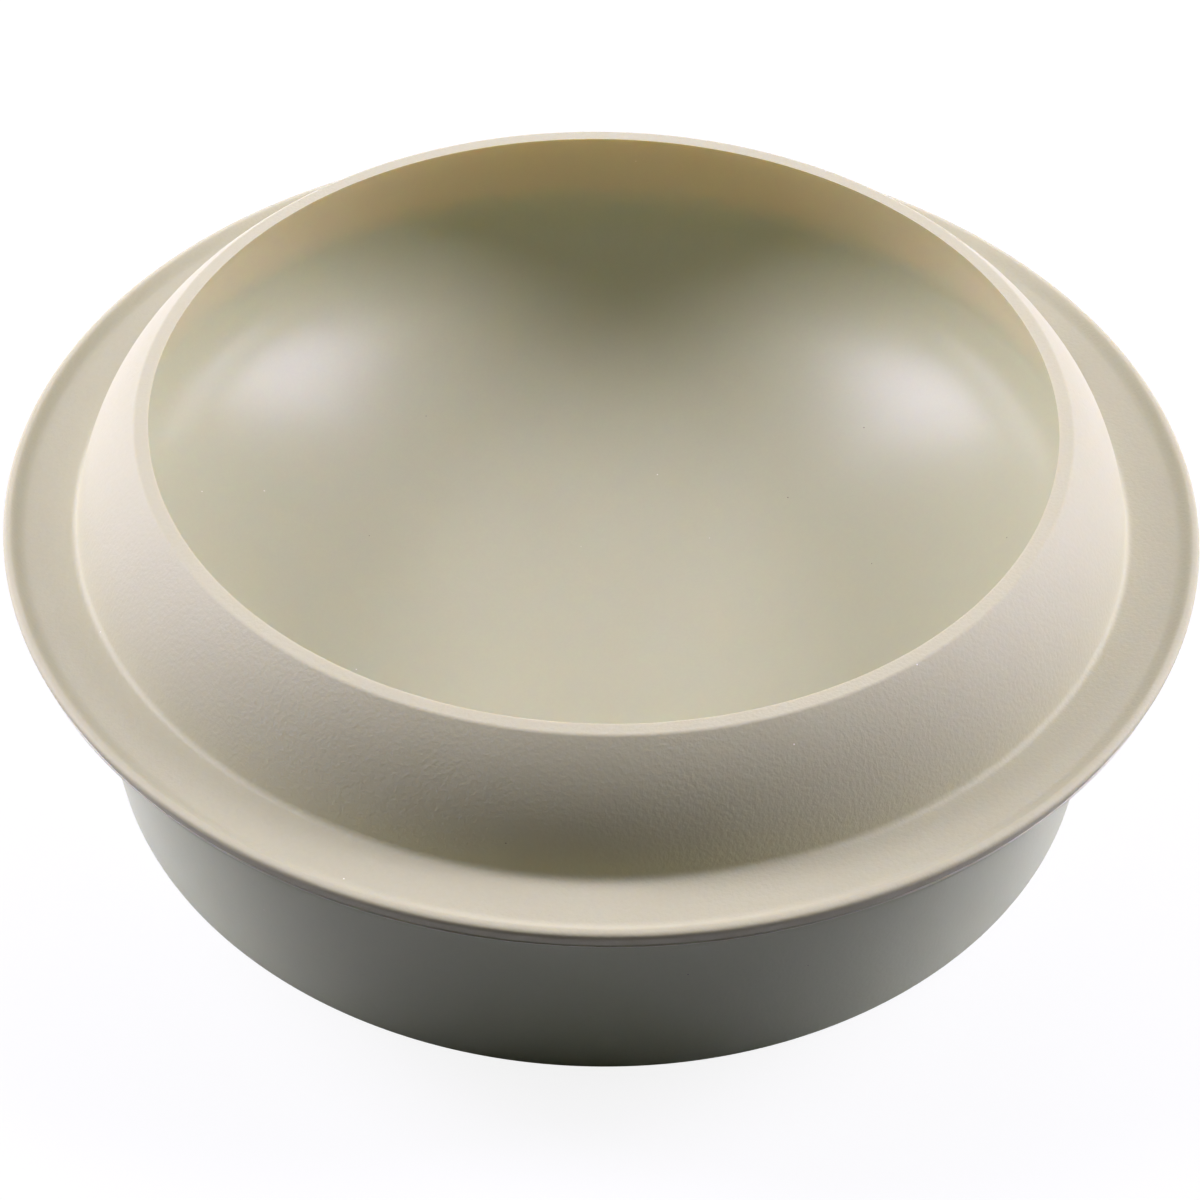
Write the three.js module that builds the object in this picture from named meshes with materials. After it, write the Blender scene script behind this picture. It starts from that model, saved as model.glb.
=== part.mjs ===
import * as THREE from 'three';

// Undercut cake mould with a drop-shaped cavity, resting on a ring-shaped stand that it lifts off.
// Millimetres, +Z up. The origin is on the table, on the axis that both pieces are turned about.
// Outlines are half sections: x is the radius and y is the height above the table.

// Cavity: widest level with the flange's underside, smaller at the opening, round at the bottom
const cavityRadius = 90;
const undercut = 11.65;
const bowlWall = 2.4;
const bowlFullness = 0.42;
const floorGap = 1.5;

// Collar: bulges outwards as it leans in from the flange up to a flat rim
const collarRise = 20.6;
const collarBulge = 2.2;
const cavityBulge = 2.8;
const rimWidth = 2.25;
const rimRounding = 0.6;
const collarFillet = 1.2;

// Flange: flat, with a raised bead round its edge that flares outwards
const flangeWidth = 11.6;
const flangeThickness = 2.5;
const beadFlare = 1.4;
const beadWidth = 4;
const beadHeight = 1.55;
const beadRounding = 1.5;

// Stand: a tapered wall with an out-turned rim
const standHeight = 46.6;
const standWall = 2.4;
const standTaper = 5.3;
const standRimThickness = 2.15;
const standRimSetback = 1;

// Clearances between the two pieces
const seatGap = 0.3;
const bowlClearance = 0.6;

// Points along the curves, and flats round the axis
const bowlSteps = 12;
const collarSteps = 6;
const edgeSteps = 3;
const flatsPerTurn = 64;

// Heights that follow from the sizes above
const flangeUnderside = standHeight + seatGap;
const flangeFace = flangeUnderside + flangeThickness;
const beadTop = flangeFace + beadHeight;
const rimTop = flangeFace + collarRise;

// Radii that follow from the sizes above
const bowlRadius = cavityRadius + bowlWall;
const openingRadius = cavityRadius - undercut;
const rimRadius = openingRadius + rimWidth;
const flangeRadius = bowlRadius + flangeWidth;
const beadRadius = flangeRadius + beadFlare;
const standInsideTop = bowlRadius + bowlClearance;
const standOutsideTop = standInsideTop + standWall;
const standInsideFoot = standInsideTop - standTaper;
const standOutsideFoot = standOutsideTop - standTaper;
const standRimRadius = flangeRadius - standRimSetback;

const point = (radius, height) => new THREE.Vector2(radius, height);

// The point at a given distance from one point towards another
function towards(from, to, distance) {
  return from.clone().add(to.clone().sub(from).setLength(distance));
}

// A rounded corner between two straight edges, starting and ending at the same distance from it
function roundedCorner(before, corner, after, distance) {
  const start = towards(corner, before, distance);
  const end = towards(corner, after, distance);
  return new THREE.QuadraticBezierCurve(start, corner, end).getPoints(edgeSteps);
}

// The bowl's section from its widest point, level with the flange's underside, down to the axis
function bowlSection(radius, bottom) {
  const depth = flangeUnderside - bottom;
  const curve = new THREE.CubicBezierCurve(
    point(radius, flangeUnderside),
    point(radius, flangeUnderside - bowlFullness * depth),
    point(bowlFullness * radius, bottom),
    point(0, bottom),
  );
  return curve.getPoints(bowlSteps);
}

// One face of the collar, from its upper end to its lower end, bulging outwards in the middle
function collarFace(upper, lower, bulge) {
  const outwards = point(upper.y - lower.y, lower.x - upper.x).normalize();
  const pull = upper.clone().lerp(lower, 0.5).addScaledVector(outwards, 2 * bulge);
  return new THREE.QuadraticBezierCurve(upper, pull, lower).getPoints(collarSteps);
}

// The edge bead, from the flange's outer face over the crest to the flat of the flange
function beadSection() {
  const crestRadius = beadRadius - beadWidth / 2;
  const outside = roundedCorner(
    point(flangeRadius, flangeUnderside),
    point(beadRadius, beadTop),
    point(crestRadius, beadTop),
    beadRounding,
  );
  const inside = new THREE.CubicBezierCurve(
    point(crestRadius, beadTop),
    point(crestRadius - beadWidth / 4, beadTop),
    point(crestRadius - beadWidth / 4, flangeFace),
    point(beadRadius - beadWidth, flangeFace),
  );
  return [...outside, ...inside.getPoints(edgeSteps)];
}

// Runs of points as one outline, without the doubled points where two runs meet
function joined(...runs) {
  const points = runs.flat();
  return points.filter((p, i) => i === 0 || !p.equals(points[i - 1]));
}

// The silicone moulding: bowl, flange, bead and collar in one piece
function mouldOutline() {
  const rimEdge = point(openingRadius, rimTop);
  const rimCorner = point(rimRadius, rimTop);
  const collarFoot = point(bowlRadius, flangeFace);
  const widest = point(cavityRadius, flangeUnderside);
  const outside = collarFace(rimCorner, collarFoot, collarBulge).reverse().slice(1, -1);
  return joined(
    bowlSection(bowlRadius, floorGap).reverse(),
    [point(flangeRadius, flangeUnderside)],
    beadSection(),
    roundedCorner(point(flangeRadius, flangeFace), collarFoot, outside[0], collarFillet),
    outside,
    roundedCorner(outside.at(-1), rimCorner, rimEdge, rimRounding),
    collarFace(rimEdge, widest, cavityBulge),
    bowlSection(cavityRadius, floorGap + bowlWall),
  );
}

// The stand: foot, outside of the wall, rim, then down the inside
function standOutline() {
  const rimUnderside = standHeight - standRimThickness;
  return [
    point(standInsideFoot, 0),
    point(standOutsideFoot, 0),
    point(standOutsideTop, rimUnderside),
    point(standRimRadius, rimUnderside),
    point(standRimRadius, standHeight),
    point(standInsideTop, standHeight),
    point(standInsideFoot, 0),
  ];
}

// A piece turned about the upright axis
function turnedPiece(name, outline, material) {
  const geometry = new THREE.LatheGeometry(outline, flatsPerTurn);
  geometry.rotateX(Math.PI / 2);
  const piece = new THREE.Mesh(geometry, material);
  piece.name = name;
  return piece;
}

const beigeSilicone = new THREE.MeshStandardMaterial({ color: 0xcbc2b1, roughness: 0.6, metalness: 0 });
const greySilicone = new THREE.MeshStandardMaterial({ color: 0xbdbcb2, roughness: 0.45, metalness: 0 });

const mouldOnStand = new THREE.Group();
mouldOnStand.add(turnedPiece('support_stand', standOutline(), greySilicone));
mouldOnStand.add(turnedPiece('drop_mould', mouldOutline(), beigeSilicone));

export default mouldOnStand;
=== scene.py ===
from math import cos, pi, radians, sin

import bmesh
import bpy
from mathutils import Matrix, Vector, noise
from mathutils.geometry import interpolate_bezier


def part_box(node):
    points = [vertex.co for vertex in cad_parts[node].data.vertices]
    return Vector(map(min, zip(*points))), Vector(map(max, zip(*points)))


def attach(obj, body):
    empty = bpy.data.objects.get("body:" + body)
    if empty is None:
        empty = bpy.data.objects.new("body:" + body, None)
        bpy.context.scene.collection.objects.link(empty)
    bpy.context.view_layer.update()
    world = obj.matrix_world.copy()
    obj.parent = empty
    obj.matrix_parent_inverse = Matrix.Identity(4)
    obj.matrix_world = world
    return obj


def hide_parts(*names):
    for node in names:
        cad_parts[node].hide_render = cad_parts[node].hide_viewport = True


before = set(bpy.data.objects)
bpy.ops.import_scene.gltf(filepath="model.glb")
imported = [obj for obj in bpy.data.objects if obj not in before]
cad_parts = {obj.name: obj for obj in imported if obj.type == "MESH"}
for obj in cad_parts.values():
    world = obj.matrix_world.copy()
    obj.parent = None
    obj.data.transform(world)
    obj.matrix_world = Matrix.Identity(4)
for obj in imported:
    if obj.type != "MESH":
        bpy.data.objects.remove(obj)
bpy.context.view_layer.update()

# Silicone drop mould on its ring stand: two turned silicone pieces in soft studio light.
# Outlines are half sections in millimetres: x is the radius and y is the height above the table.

MM = 0.001

# Sizes taken from the frame, in millimetres
mould_low, mould_high = [Vector(corner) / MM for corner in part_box("drop_mould")]
stand_high = Vector(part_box("support_stand")[1]) / MM
BOWL_BOTTOM = mould_low.z
RIM_TOP = mould_high.z
STAND_TOP = stand_high.z
STAND_RIM_RADIUS = stand_high.x

# Mould: cavity, collar, flange and bead
CAVITY_RADIUS = 90.0
OPENING_RADIUS = 78.35
BOWL_WALL = 2.4
BOWL_FULLNESS = 0.42
COLLAR_RISE = 20.6
COLLAR_BULGE = 2.2
CAVITY_BULGE = 2.8
RIM_WIDTH = 2.6
FLANGE_WIDTH = 11.6
FLANGE_THICKNESS = 2.5
BEAD_FLARE = 1.6
BEAD_WIDTH = 4.4
BEAD_HEIGHT = 1.35
BEAD_ROUNDING = 1.6

# How level the bead's inner curve leaves its crest and meets the flange, as shares of the curve's width
BEAD_SHOULDER = 0.25
BEAD_HOLLOW = 0.45

# Heights and radii that follow from those
FLANGE_FACE = RIM_TOP - COLLAR_RISE
FLANGE_UNDERSIDE = FLANGE_FACE - FLANGE_THICKNESS
BEAD_TOP = FLANGE_FACE + BEAD_HEIGHT
BOWL_RADIUS = CAVITY_RADIUS + BOWL_WALL
FLANGE_RADIUS = BOWL_RADIUS + FLANGE_WIDTH
BEAD_RADIUS = FLANGE_RADIUS + BEAD_FLARE

# Stand: tapered wall and out-turned rim
STAND_WALL = 2.4
STAND_TAPER = 5.3
STAND_RIM_THICKNESS = 2.15
BOWL_CLEARANCE = 0.6

# Edge roundings that the moulding tool leaves
RIM_ROUNDING = 0.35
RIM_INNER_ROUNDING = 0.25
COLLAR_FILLET = 1.2
BOWL_FILLET = 0.5
FLANGE_EDGE = 0.3
STAND_EDGE = 0.2
STAND_FILLET = 0.8

# Flash at the tool's parting line, and the uneven trim of its edge: swings to a radian, and their share
FLASH_ROOT = 0.5
FLASH_THICKNESS = 0.4
FLASH_TAPER = FLASH_THICKNESS / 6
FLASH_REACH = 0.35
FLASH_EVEN_SHARE = 0.85
FLASH_WAVES = 9
FLASH_WAVE_SHARE = 0.15
FLASH_NICKS = 46
FLASH_NICK_SHARE = 0.1

# Silicone: pigment clouds, specks of dust and how light enters it, with sizes in millimetres
CLOUD_SIZE = 15
ROUGHNESS_SPREAD = 0.02
SPECK_SPACING = 5
SPECK_RADIUS = 0.14
SPECK_SHARE = 0.25
PALE_SPECK_SHARE = 0.5
PALE_SPECK = "#f2eee6"
DARK_SPECK = "#8c8474"
SILICONE_IOR = 1.41
SOAK_BY_COLOUR = (1.0, 0.7, 0.35)

# Sockets of a Mix node, which share their names: its share, two numbers, two colours and the mixed colour
MIX_SHARE = 0
NUMBER_A, NUMBER_B = 2, 3
COLOUR_A, COLOUR_B = 6, 7
COLOUR_MIXED = 2

# Floor and room: FLOOR_SHADOW is the share of lit, shadowed paper in what a ray sees, and the rest glows
PAPER_WHITE = "#ffffff"
FLOOR_REACH = 4
FLOOR_TILES = 24
FLOOR_SHADOW_SEEN = 0.13
FLOOR_SHADOW_MIRRORED = 0.96
FLOOR_BOUNCE = "#6e6e6c"
ROOM_LIGHT = 0.005
FAR_WHITE = 1 - FLOOR_SHADOW_SEEN

# Lamps: slightly violet, with a weak warm fill, because the lit sides are pinkish and the shade is olive
LAMP_AIM = Vector((0, 0, 0.05))
LAMP_DISTANCE = 0.75
LAMP_WHITE = "#ebe5ff"
FILL_WHITE = "#fff3d2"

# Camera, fitted to the photograph, in metres, degrees and millimetres of lens
CAMERA_BACK = 0.42806
CAMERA_UP = 0.42338
CAMERA_DOWN = 43.10
CAMERA_ROLL = 1.256
CAMERA_LENS = 96.02
SENSOR_WIDTH = 36

# Steps along curves and roundings, and round the axis
CURVE_STEPS = 56
ROUNDING_STEPS = 8
TURN_STEPS = 288
FLASH_STEPS = 4 * TURN_STEPS

# Long straight stretches get a point at this distance from each end, which keeps their shading flat
EDGE_SUPPORT = 0.3
SHORTEST_SUPPORTED = 4 * EDGE_SUPPORT

# Points closer than SAME_POINT are one point, and a radius below ON_AXIS is on the axis
SAME_POINT = 1e-4
ON_AXIS = 1e-6


def section(radius, height):
    """A point of a half section, in millimetres."""
    return Vector((radius, height))


def curve(start, pull_start, pull_end, end, steps):
    """Points along a cubic curve."""
    return interpolate_bezier(start, pull_start, pull_end, end, steps + 1)


def pulled(start, pull, end, steps):
    """Points along a curve that one point in the middle pulls out."""
    return curve(start, start.lerp(pull, 2 / 3), end.lerp(pull, 2 / 3), end, steps)


def rounded(before, corner, after, distance):
    """A corner rounded off at the same distance along both its edges."""
    start = corner + (before - corner).normalized() * distance
    end = corner + (after - corner).normalized() * distance
    return pulled(start, corner, end, ROUNDING_STEPS)


def bulged(upper, lower, bulge):
    """A collar face from its upper end to its lower end, pushed outwards in the middle."""
    outwards = section(upper.y - lower.y, lower.x - upper.x).normalized()
    # The middle of a pulled curve moves half as far as the point that pulls it
    return pulled(upper, upper.lerp(lower, 0.5) + outwards * 2 * bulge, lower, CURVE_STEPS)


def joined(*runs):
    """Runs of points as one outline; a long straight stretch between two runs gets a point near each end."""
    outline = []
    for run in runs:
        if outline:
            last, first = outline[-1], run[0]
            gap = first - last
            if gap.length > SHORTEST_SUPPORTED:
                outline.append(last + gap.normalized() * EDGE_SUPPORT)
                outline.append(first - gap.normalized() * EDGE_SUPPORT)
            elif gap.length < SAME_POINT:
                run = run[1:]
        outline.extend(run)
    return outline


def vertex(mesh, radius, height, angle):
    """A vertex at a radius and a height in millimetres and at an angle round the upright axis."""
    return mesh.verts.new((radius * MM * cos(angle), radius * MM * sin(angle), height * MM))


def turned(name, outline, closed, finishes, finish_of):
    """A smooth mesh of an outline turned about the upright axis, with a finish chosen for each stretch."""
    angles = [2 * pi * step / TURN_STEPS for step in range(TURN_STEPS)]
    mesh = bmesh.new()
    rings = []
    for point in outline:
        if point.x < ON_AXIS:
            rings.append([mesh.verts.new((0, 0, point.y * MM))] * TURN_STEPS)
        else:
            rings.append([vertex(mesh, point.x, point.y, angle) for angle in angles])
    stretches = len(rings) if closed else len(rings) - 1
    for index in range(stretches):
        lower, upper = rings[index], rings[(index + 1) % len(rings)]
        for step in range(TURN_STEPS):
            following = (step + 1) % TURN_STEPS
            corners = [lower[step], lower[following], upper[following], upper[step]]
            # A stretch that ends on the axis has the same corner twice, so its faces are triangles
            face = mesh.faces.new(list(dict.fromkeys(corners)))
            face.smooth = True
            face.material_index = finish_of(index)
    return finished_piece(name, mesh, finishes)


def finished_piece(name, mesh, finishes):
    """An object in the scene from a bmesh, with its finishes in order."""
    data = bpy.data.meshes.new(name)
    mesh.to_mesh(data)
    mesh.free()
    for finish in finishes:
        data.materials.append(finish)
    piece = bpy.data.objects.new(name, data)
    bpy.context.scene.collection.objects.link(piece)
    return piece


def bowl_section(radius, bottom):
    """The bowl from its widest point, level with the flange's underside, down to the axis."""
    depth = FLANGE_UNDERSIDE - bottom
    return curve(
        section(radius, FLANGE_UNDERSIDE),
        section(radius, FLANGE_UNDERSIDE - BOWL_FULLNESS * depth),
        section(BOWL_FULLNESS * radius, bottom),
        section(0, bottom),
        CURVE_STEPS,
    )


def bead_section():
    """The edge bead, from the flange's outer face over the crest and down to the flat of the flange."""
    flange_edge = section(FLANGE_RADIUS, FLANGE_UNDERSIDE)
    crest = section(BEAD_RADIUS - BEAD_ROUNDING, BEAD_TOP)
    foot = section(BEAD_RADIUS - BEAD_WIDTH, FLANGE_FACE)
    outside = rounded(flange_edge, section(BEAD_RADIUS, BEAD_TOP), crest, BEAD_ROUNDING)
    shoulder = crest.lerp(section(foot.x, BEAD_TOP), BEAD_SHOULDER)
    hollow = foot.lerp(section(crest.x, FLANGE_FACE), BEAD_HOLLOW)
    inside = curve(crest, shoulder, hollow, foot, 2 * ROUNDING_STEPS)
    return joined(outside, inside)


def clear_of(corner, distance, points):
    """The points that a corner's rounding doesn't take away."""
    return [point for point in points if (point - corner).length > distance]


def mould_runs():
    """The mould's outline: the outside from the axis to the rim, and the cavity back to the axis."""
    rim_edge = section(OPENING_RADIUS, RIM_TOP)
    rim_corner = section(OPENING_RADIUS + RIM_WIDTH, RIM_TOP)
    collar_foot = section(BOWL_RADIUS, FLANGE_FACE)
    flange_edge = section(FLANGE_RADIUS, FLANGE_UNDERSIDE)
    bowl_neck = section(BOWL_RADIUS, FLANGE_UNDERSIDE)
    collar = bulged(rim_corner, collar_foot, COLLAR_BULGE)[::-1]
    collar = clear_of(collar_foot, COLLAR_FILLET, clear_of(rim_corner, RIM_ROUNDING, collar))
    inside = bulged(rim_edge, section(CAVITY_RADIUS, FLANGE_UNDERSIDE), CAVITY_BULGE)
    inside = clear_of(rim_edge, RIM_INNER_ROUNDING, inside)
    bowl = clear_of(bowl_neck, BOWL_FILLET, bowl_section(BOWL_RADIUS, BOWL_BOTTOM))
    outside = joined(
        bowl[::-1],
        rounded(bowl[0], bowl_neck, flange_edge, BOWL_FILLET),
        rounded(bowl_neck, flange_edge, section(BEAD_RADIUS, BEAD_TOP), FLANGE_EDGE),
        bead_section(),
        rounded(section(FLANGE_RADIUS, FLANGE_FACE), collar_foot, collar[0], COLLAR_FILLET),
        collar,
        rounded(collar[-1], rim_corner, rim_edge, RIM_ROUNDING),
        rounded(rim_corner, rim_edge, inside[0], RIM_INNER_ROUNDING),
    )
    cavity = joined(inside, bowl_section(CAVITY_RADIUS, BOWL_BOTTOM + BOWL_WALL))
    return outside, cavity


def drop_mould(matte, satin):
    """The silicone moulding: matte grain outside, satin skin in the cavity."""
    outside, cavity = mould_runs()
    outline = joined(outside, cavity)
    cavity_start = len(outside) - 1

    def finish_of(index):
        return int(index >= cavity_start)

    return turned("drop_mould_silicone", outline, False, [matte, satin], finish_of)


def support_stand(satin):
    """The stand: foot, wall, out-turned rim, then down the inside."""
    inside_top = BOWL_RADIUS + BOWL_CLEARANCE
    outside_top = inside_top + STAND_WALL
    rim_underside = STAND_TOP - STAND_RIM_THICKNESS
    corners = [
        (section(inside_top - STAND_TAPER, 0), STAND_EDGE),
        (section(outside_top - STAND_TAPER, 0), STAND_EDGE),
        (section(outside_top, rim_underside), STAND_FILLET),
        (section(STAND_RIM_RADIUS, rim_underside), STAND_EDGE),
        (section(STAND_RIM_RADIUS, STAND_TOP), STAND_EDGE),
        (section(inside_top, STAND_TOP), STAND_EDGE),
    ]
    runs = []
    for index, (corner, distance) in enumerate(corners):
        before, after = corners[index - 1][0], corners[(index + 1) % len(corners)][0]
        runs.append(rounded(before, corner, after, distance))
    # Joined up to the first point again, for the points near the ends of the last stretch
    outline = joined(*runs, runs[0][:1])[:-1]
    return turned("support_stand_silicone", outline, True, [satin], lambda index: 0)


def swing(angle, count, row):
    """A smooth uneven swing round the axis, from about -1 to 1; each row of the noise swings differently."""
    return noise.noise(Vector((count * cos(angle), count * sin(angle), row)))


def flash_reach(angle):
    """How far the parting flash stands out at an angle: trimmed by hand, so a little uneven."""
    waves = FLASH_WAVE_SHARE * swing(angle, FLASH_WAVES, 1.7)
    nicks = FLASH_NICK_SHARE * swing(angle, FLASH_NICKS, 5.2)
    return FLASH_REACH * (FLASH_EVEN_SHARE + waves + nicks)


def parting_flash(finish):
    """A thin uneven fin round the flange's lower edge, where two halves of the moulding tool met."""
    root = FLANGE_RADIUS - FLASH_ROOT
    top = FLANGE_UNDERSIDE + FLASH_THICKNESS
    mesh = bmesh.new()
    rings = []
    for step in range(FLASH_STEPS):
        angle = 2 * pi * step / FLASH_STEPS
        tip = FLANGE_RADIUS + flash_reach(angle)
        corners = [
            (root, FLANGE_UNDERSIDE),
            (tip, FLANGE_UNDERSIDE + FLASH_TAPER),
            (tip, top - FLASH_TAPER),
            (root, top),
        ]
        rings.append([vertex(mesh, radius, height, angle) for radius, height in corners])
    for step in range(FLASH_STEPS):
        here, there = rings[step], rings[(step + 1) % FLASH_STEPS]
        for lower in range(len(here)):
            upper = (lower + 1) % len(here)
            face = mesh.faces.new([here[lower], there[lower], there[upper], here[upper]])
            face.smooth = True
    return finished_piece("parting_flash", mesh, [finish])


def linear(hex_colour):
    """An sRGB hex colour as linear red, green, blue and alpha."""
    channels = [int(hex_colour[i:i + 2], 16) / 255 for i in (1, 3, 5)]
    return [c / 12.92 if c <= 0.04045 else ((c + 0.055) / 1.055) ** 2.4 for c in channels] + [1]


def emptied(owner):
    """The node tree of a material or a world, with nothing in it."""
    owner.use_nodes = True
    owner.node_tree.nodes.clear()
    return owner.node_tree


def add(tree, kind, inputs, **settings):
    """Adds a node with its settings; an input is a value or the socket that feeds it."""
    node = tree.nodes.new(kind)
    for name, value in settings.items():
        setattr(node, name, value)
    for name, value in inputs.items():
        if isinstance(value, bpy.types.NodeSocket):
            tree.links.new(value, node.inputs[name])
        else:
            node.inputs[name].default_value = value
    return node


def silicone(name, tint, shade, roughness, grain_mm, grain_depth_mm, soak_mm, soak_share):
    """Cured silicone rubber: cloudy pigment, moulded grain, some specks of dust, and light that soaks in.

    Light soaks in about as far as soak_mm. The grain only shows in the light that doesn't, so a grained
    finish has a soak_share below 1.
    """
    material = bpy.data.materials.new(name)
    tree = emptied(material)
    place = add(tree, "ShaderNodeTexCoord", {}).outputs["Object"]
    cloud = add(tree, "ShaderNodeTexNoise", {"Vector": place, "Scale": 1 / (CLOUD_SIZE * MM), "Detail": 3})
    grain = add(tree, "ShaderNodeTexNoise", {"Vector": place, "Scale": 1 / (grain_mm * MM), "Detail": 2})
    uneven = add(
        tree, "ShaderNodeMix",
        {MIX_SHARE: 0.5, NUMBER_A: cloud.outputs["Fac"], NUMBER_B: grain.outputs["Fac"]},
    )
    pigment = add(
        tree, "ShaderNodeMix",
        {MIX_SHARE: uneven.outputs[0], COLOUR_A: linear(tint), COLOUR_B: linear(shade)}, data_type="RGBA",
    )
    speck = add(tree, "ShaderNodeTexVoronoi", {"Vector": place, "Scale": 1 / (SPECK_SPACING * MM)})
    near = add(
        tree, "ShaderNodeMath", {0: speck.outputs["Distance"], 1: SPECK_RADIUS / SPECK_SPACING},
        operation="LESS_THAN",
    )
    draw = add(tree, "ShaderNodeSeparateColor", {"Color": speck.outputs["Color"]})
    kept = add(tree, "ShaderNodeMath", {0: draw.outputs["Red"], 1: SPECK_SHARE}, operation="LESS_THAN")
    pale = add(tree, "ShaderNodeMath", {0: draw.outputs["Green"], 1: PALE_SPECK_SHARE}, operation="LESS_THAN")
    spot = add(tree, "ShaderNodeMath", {0: near.outputs[0], 1: kept.outputs[0]}, operation="MULTIPLY")
    dust = add(
        tree, "ShaderNodeMix",
        {MIX_SHARE: pale.outputs[0], COLOUR_A: linear(DARK_SPECK), COLOUR_B: linear(PALE_SPECK)},
        data_type="RGBA",
    )
    colour = add(
        tree, "ShaderNodeMix",
        {
            MIX_SHARE: spot.outputs[0],
            COLOUR_A: pigment.outputs[COLOUR_MIXED],
            COLOUR_B: dust.outputs[COLOUR_MIXED],
        },
        data_type="RGBA",
    )
    dullness = add(tree, "ShaderNodeMapRange", {
        "Value": cloud.outputs["Fac"],
        "To Min": roughness - ROUGHNESS_SPREAD,
        "To Max": roughness + ROUGHNESS_SPREAD,
    })
    bump = add(tree, "ShaderNodeBump", {"Height": grain.outputs["Fac"], "Distance": grain_depth_mm * MM})
    surface = add(tree, "ShaderNodeBsdfPrincipled", {
        "Base Color": colour.outputs[COLOUR_MIXED],
        "Roughness": dullness.outputs["Result"],
        "Normal": bump.outputs["Normal"],
        "IOR": SILICONE_IOR,
        "Subsurface Weight": soak_share,
        "Subsurface Radius": SOAK_BY_COLOUR,
        "Subsurface Scale": soak_mm * MM,
    })
    add(tree, "ShaderNodeOutputMaterial", {"Surface": surface.outputs["BSDF"]})
    return material


def shows_surround(tree, path):
    """1 for a ray that shows the white surround: the camera's own, a mirrored one or one through glass."""
    mirrored = add(
        tree, "ShaderNodeMath",
        {0: path.outputs["Is Glossy Ray"], 1: path.outputs["Is Transmission Ray"]}, operation="MAXIMUM",
    )
    seen = add(
        tree, "ShaderNodeMath",
        {0: path.outputs["Is Camera Ray"], 1: mirrored.outputs[0]}, operation="MAXIMUM",
    )
    return seen.outputs[0]


def paper_floor():
    """White paper: a bright ground to the camera and in reflections, with little light for the object."""
    material = bpy.data.materials.new("white_paper_sheet")
    tree = emptied(material)
    path = add(tree, "ShaderNodeLightPath", {})
    glow = add(tree, "ShaderNodeEmission", {"Color": linear(PAPER_WHITE), "Strength": 1.0})
    lit = add(tree, "ShaderNodeBsdfDiffuse", {"Color": linear(PAPER_WHITE)})
    shadow = add(
        tree, "ShaderNodeMix",
        {
            MIX_SHARE: path.outputs["Is Camera Ray"],
            NUMBER_A: FLOOR_SHADOW_MIRRORED,
            NUMBER_B: FLOOR_SHADOW_SEEN,
        },
    )
    ground = add(tree, "ShaderNodeMixShader", {0: shadow.outputs[0], 1: glow.outputs[0], 2: lit.outputs[0]})
    bounce = add(tree, "ShaderNodeBsdfDiffuse", {"Color": linear(FLOOR_BOUNCE)})
    shown = add(
        tree, "ShaderNodeMixShader",
        {0: shows_surround(tree, path), 1: bounce.outputs[0], 2: ground.outputs[0]},
    )
    add(tree, "ShaderNodeOutputMaterial", {"Surface": shown.outputs[0]})
    return material


def floor():
    """A wide sheet on the table's level."""
    mesh = bmesh.new()
    bmesh.ops.create_grid(mesh, x_segments=FLOOR_TILES, y_segments=FLOOR_TILES, size=FLOOR_REACH)
    sheet = finished_piece("floor", mesh, [paper_floor()])


def room():
    """The dim room round the set, with far walls as bright as the far floor, so that no horizon shows."""
    world = bpy.data.worlds.new("room")
    tree = emptied(world)
    path = add(tree, "ShaderNodeLightPath", {})
    dim = add(tree, "ShaderNodeBackground", {"Color": linear(PAPER_WHITE), "Strength": ROOM_LIGHT})
    white = add(tree, "ShaderNodeBackground", {"Color": linear(PAPER_WHITE), "Strength": FAR_WHITE})
    shown = add(
        tree, "ShaderNodeMixShader",
        {0: shows_surround(tree, path), 1: dim.outputs[0], 2: white.outputs[0]},
    )
    add(tree, "ShaderNodeOutputWorld", {"Surface": shown.outputs[0]})
    bpy.context.scene.world = world


def softbox(name, round_from_back, up, width, height, level, colour=LAMP_WHITE):
    """A soft rectangular lamp that faces the object; level 1 shows a facing surface in its own colour."""
    turn, rise = radians(round_from_back), radians(up)
    outwards = Vector((sin(turn) * cos(rise), cos(turn) * cos(rise), sin(rise)))
    lamp = bpy.data.lights.new(name, "AREA")
    lamp.shape = "RECTANGLE"
    lamp.size = width
    lamp.size_y = height
    lamp.energy = level * (pi * LAMP_DISTANCE) ** 2
    lamp.color = linear(colour)[:3]
    box = bpy.data.objects.new(name, lamp)
    box.location = LAMP_AIM + outwards * LAMP_DISTANCE
    box.rotation_euler = (-outwards).to_track_quat("-Z", "Y").to_euler()
    box.visible_camera = False
    bpy.context.scene.collection.objects.link(box)


def camera():
    """The photograph's viewpoint: a long lens in front of the mould, looking steeply down."""
    lens = bpy.data.cameras.new("camera")
    lens.sensor_width = SENSOR_WIDTH
    lens.lens = CAMERA_LENS
    eye = bpy.data.objects.new("camera", lens)
    eye.location = (0, -CAMERA_BACK, CAMERA_UP)
    eye.rotation_mode = "ZYX"
    eye.rotation_euler = (radians(90 - CAMERA_DOWN), 0, radians(CAMERA_ROLL))
    bpy.context.scene.collection.objects.link(eye)
    bpy.context.scene.camera = eye


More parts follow.
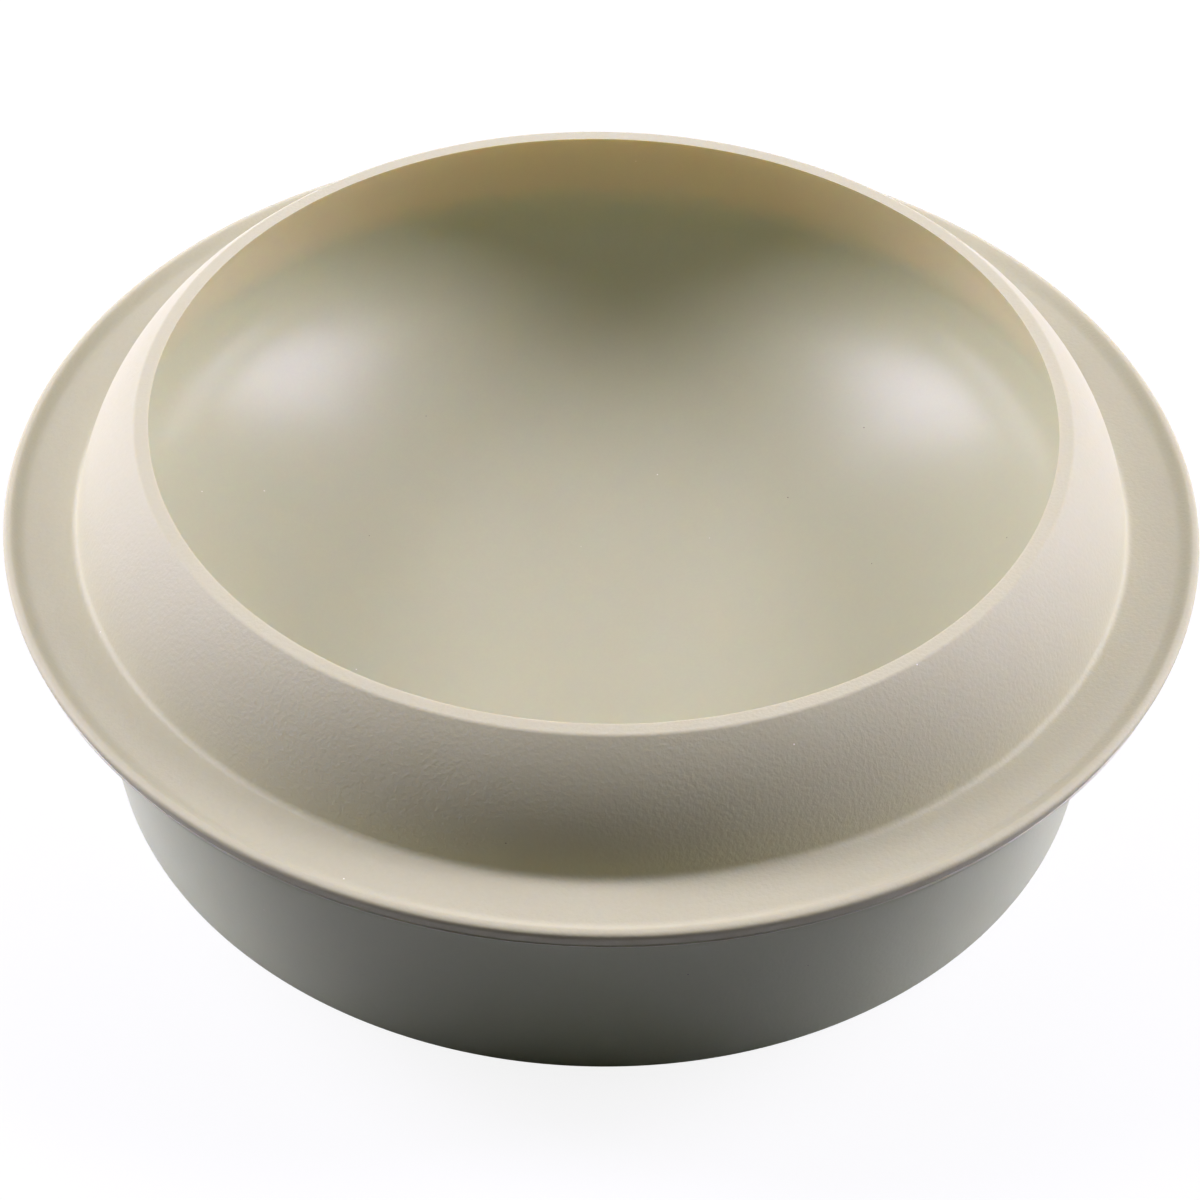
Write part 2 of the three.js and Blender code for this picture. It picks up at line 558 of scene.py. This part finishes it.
# Silicone rubber from a spark-eroded steel mould: dry, grained and matte.
# The real grain is too fine to show, so it is drawn coarser and deeper, here and on the stand.
outside_silicone = silicone(
    "matte_moulded_silicone", "#c3c0a1", "#b9b697",
    roughness=0.6, grain_mm=0.7, grain_depth_mm=0.07, soak_mm=0.8, soak_share=0.6,
)

# The same rubber from the polished core of the mould: a smooth skin with a soft satin shine
cavity_silicone = silicone(
    "satin_moulded_silicone", "#cccbab", "#c4c3a3",
    roughness=0.30, grain_mm=0.5, grain_depth_mm=0.002, soak_mm=4.6, soak_share=1,
)

# The stand's rubber, moulded against satin steel: a little greyer, even and slightly shiny
stand_silicone = silicone(
    "grey_moulded_silicone", "#cad0aa", "#c2c8a2",
    roughness=0.36, grain_mm=0.7, grain_depth_mm=0.03, soak_mm=0.8, soak_share=0.6,
)

# The flash, trimmed by hand: thin, so some light soaks through it, and coloured paler than the rubber as a
# painted highlight for the bright line its edge catches
flash_painted_highlight_silicone = silicone(
    "trimmed_silicone_flash_painted_highlight", "#e8e8d2", "#e0e0ca",
    roughness=0.5, grain_mm=0.5, grain_depth_mm=0.01, soak_mm=0.1, soak_share=0.5,
)

mould = drop_mould(outside_silicone, cavity_silicone)
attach(mould, "mould")
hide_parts("drop_mould")

flash = parting_flash(flash_painted_highlight_silicone)
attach(flash, "mould")

stand = support_stand(stand_silicone)
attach(stand, "stand")
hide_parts("support_stand")

floor()
room()
softbox("left_softbox", round_from_back=-78, up=44, width=0.26, height=0.35, level=0.96)
softbox("right_softbox", round_from_back=82, up=44, width=0.26, height=0.35, level=0.90)
softbox("left_low_softbox", round_from_back=-76, up=14, width=0.45, height=0.18, level=0.66)
softbox("right_low_softbox", round_from_back=78, up=14, width=0.45, height=0.18, level=0.62)
softbox("back_softbox", round_from_back=0, up=6, width=0.60, height=0.17, level=0.36)
softbox("overhead_softbox", round_from_back=0, up=68, width=0.45, height=0.38, level=0.10)
softbox("front_fill", round_from_back=180, up=72, width=0.45, height=0.38, level=0.04, colour=FILL_WHITE)
camera()
bpy.context.scene.view_settings.view_transform = "Standard"
